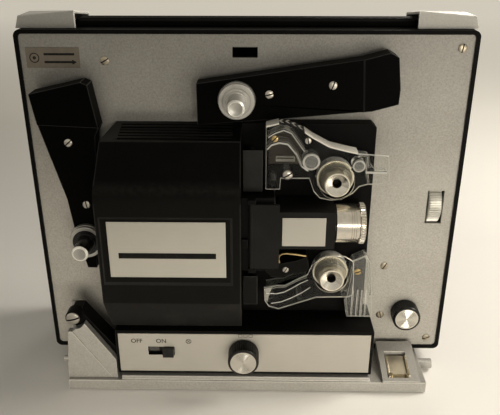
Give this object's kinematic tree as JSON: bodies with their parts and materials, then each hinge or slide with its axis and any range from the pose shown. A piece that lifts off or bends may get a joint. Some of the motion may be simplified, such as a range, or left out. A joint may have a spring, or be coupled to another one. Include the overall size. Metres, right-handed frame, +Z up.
{
  "type": "movie projector",
  "caption": "Table-top movie projector: tilting black and silver case with lamp house, side-facing lens, film sprockets in clear guides and folding reel arms.",
  "frame": {"origin": "bottom centre of the whole outline, on the table under the feet", "axes": "+X to the side the lens points to, +Y from the working face to the back, +Z up"},
  "size_m": [0.33, 0.14, 0.2922],
  "materials": {
    "cast_silver": "satin",
    "screw_steel": "satin",
    "bronze": "satin",
    "rubber": "matte",
    "plate_silver": "satin",
    "case_black": "fine texture",
    "arm_black": "fine texture",
    "brushed_alu": "brushed",
    "bare_alu": "satin",
    "lamp_glass": "clear",
    "ceramic": "ceramic",
    "block_black": "matte",
    "steel": "satin",
    "grey_steel": "satin",
    "label_metal": "satin",
    "clear_plastic": "clear plastic",
    "strip_white": "gloss",
    "phenolic": "phenolic",
    "spindle_metal": "turned",
    "sprocket_plastic": "satin",
    "chrome": "turned",
    "lens_coat": "coated"
  },
  "bodies": {
    "base": {"base_tray": "cast_silver", "hinge_bracket": "cast_silver", "pivot_screw": "screw_steel", "latch_ramp": "cast_silver", "latch_spring": "bronze", "rubber_feet": "rubber"},
    "chassis": {"main_plate": "plate_silver", "case_rim": "case_black", "rear_case": "case_black", "rear_cover": "case_black", "rear_screws": "screw_steel", "power_inlet": "case_black", "plate_screws": "bronze", "strap_caps": "bare_alu", "control_box": "case_black", "control_panel": "brushed_alu", "lamp_house": "block_black", "name_plate": "brushed_alu", "lamp": "lamp_glass", "lamp_socket": "ceramic", "film_block": "block_black", "aperture_plate": "steel", "light_shield": "grey_steel", "rewind_plate": "label_metal", "motor_can": "grey_steel", "shaft_posts": "steel", "drive_belt": "rubber", "switch_body": "phenolic", "film_chute": "clear_plastic", "upper_guide": "clear_plastic", "upper_strip": "strip_white", "lower_guide": "clear_plastic", "lower_shoe": "arm_black"},
    "strap": {"handle_strap": "rubber"},
    "supply_arm": {"supply_arm": "arm_black", "supply_screws": "screw_steel"},
    "supply_reel_spindle": {"supply_spindle": "spindle_metal"},
    "take_up_arm": {"take_up_arm": "arm_black", "take_up_screws": "screw_steel"},
    "take_up_reel_spindle": {"take_up_spindle": "spindle_metal"},
    "framing": {"framing_knob": "arm_black", "framing_face": "bare_alu"},
    "tilt": {"tilt_knob": "arm_black", "tilt_face": "bare_alu"},
    "leg": {"tilt_leg": "steel"},
    "switch": {"switch_slider": "arm_black"},
    "drive": {"main_shaft": "steel", "inching_wheel": "bare_alu", "shutter": "grey_steel"},
    "motor": {"motor_shaft": "steel", "cooling_fan": "arm_black"},
    "upper_drum": {"upper_sprocket": "sprocket_plastic", "upper_hub": "chrome"},
    "lower_drum": {"lower_sprocket": "sprocket_plastic", "lower_hub": "chrome"},
    "gate": {"lens_carrier": "block_black", "lens_plate": "brushed_alu"},
    "sleeve": {"lens_sleeve": "steel"},
    "lens": {"lens_barrel": "chrome", "lens_glass": "lens_coat"}
  },
  "joints": [
    {"name": "body_tilt", "type": "hinge", "parent": "base", "child": "chassis", "pos_m": [-0.1347, -0.045, 0.0658], "axis": [0, -1, 0], "range_deg": [0, 6]},
    {"name": "tilt_leg_slide", "type": "slide", "parent": "chassis", "child": "leg", "axis": [0, 0, -1], "range_m": [0, 0.02921]},
    {"name": "tilt_knob_turn", "type": "hinge", "parent": "chassis", "child": "tilt", "pos_m": [0.1325, -0.012, 0.049], "axis": [0, 1, 0], "range_deg": [0, 239.3]},
    {"name": "strap_lift", "type": "slide", "parent": "chassis", "child": "strap", "axis": [0, 0, 1], "range_m": [0, 0.0035]},
    {"name": "supply_arm_swing", "type": "hinge", "parent": "chassis", "child": "supply_arm", "pos_m": [0.088, -0.024, 0.246], "axis": [0, 1, 0], "range_deg": [0, 130]},
    {"name": "supply_spindle_spin", "type": "hinge", "parent": "supply_arm", "child": "supply_reel_spindle", "pos_m": [-0.0062, -0.037, 0.2344], "axis": [0, 1, 0], "continuous": true},
    {"name": "take_up_arm_swing", "type": "hinge", "parent": "chassis", "child": "take_up_arm", "pos_m": [-0.131, -0.024, 0.222], "axis": [0, 1, 0], "range_deg": [0, 140]},
    {"name": "take_up_spindle_spin", "type": "hinge", "parent": "take_up_arm", "child": "take_up_reel_spindle", "pos_m": [-0.1224, -0.037, 0.1242], "axis": [0, 1, 0], "continuous": true},
    {"name": "framing_turn", "type": "hinge", "parent": "chassis", "child": "framing", "pos_m": [-0.0015, -0.062, 0.0369], "axis": [0, 1, 0], "range_deg": [-60, 60]},
    {"name": "switch_slide", "type": "slide", "parent": "chassis", "child": "switch", "axis": [1, 0, 0], "range_m": [-0.0115, 0]},
    {"name": "inching_spin", "type": "hinge", "parent": "chassis", "child": "drive", "pos_m": [0.06, 0.003, 0.1443], "axis": [1, 0, 0], "continuous": true},
    {"name": "motor_spin", "type": "hinge", "parent": "chassis", "child": "motor", "pos_m": [0, 0.035, 0.062], "axis": [1, 0, 0], "continuous": true},
    {"name": "upper_sprocket_spin", "type": "hinge", "parent": "chassis", "child": "upper_drum", "pos_m": [0.066, -0.027, 0.1765], "axis": [0, 1, 0], "continuous": true},
    {"name": "lower_sprocket_spin", "type": "hinge", "parent": "chassis", "child": "lower_drum", "pos_m": [0.066, -0.027, 0.098], "axis": [0, 1, 0], "continuous": true},
    {"name": "gate_swing", "type": "hinge", "parent": "chassis", "child": "gate", "pos_m": [0.0046, -0.0535, 0.1435], "axis": [0, 0, -1], "range_deg": [0, 80]},
    {"name": "focus_slide", "type": "slide", "parent": "gate", "child": "sleeve", "axis": [1, 0, 0], "range_m": [0, 0.00405]},
    {"name": "focus_turn", "type": "hinge", "parent": "sleeve", "child": "lens", "pos_m": [0.06, -0.04, 0.1435], "axis": [1, 0, 0], "range_deg": [0, 170]}
  ],
  "couplings": [
    {"joint": "tilt_leg_slide", "follows": "body_tilt", "m_per_rad": 0.278},
    {"joint": "tilt_knob_turn", "follows": "body_tilt", "ratio": 39.714},
    {"joint": "motor_spin", "follows": "inching_spin", "ratio": 1},
    {"joint": "upper_sprocket_spin", "follows": "inching_spin", "ratio": 0.05},
    {"joint": "lower_sprocket_spin", "follows": "inching_spin", "ratio": 0.05},
    {"joint": "focus_slide", "follows": "focus_turn", "m_per_rad": 0.0013481}
  ]
}
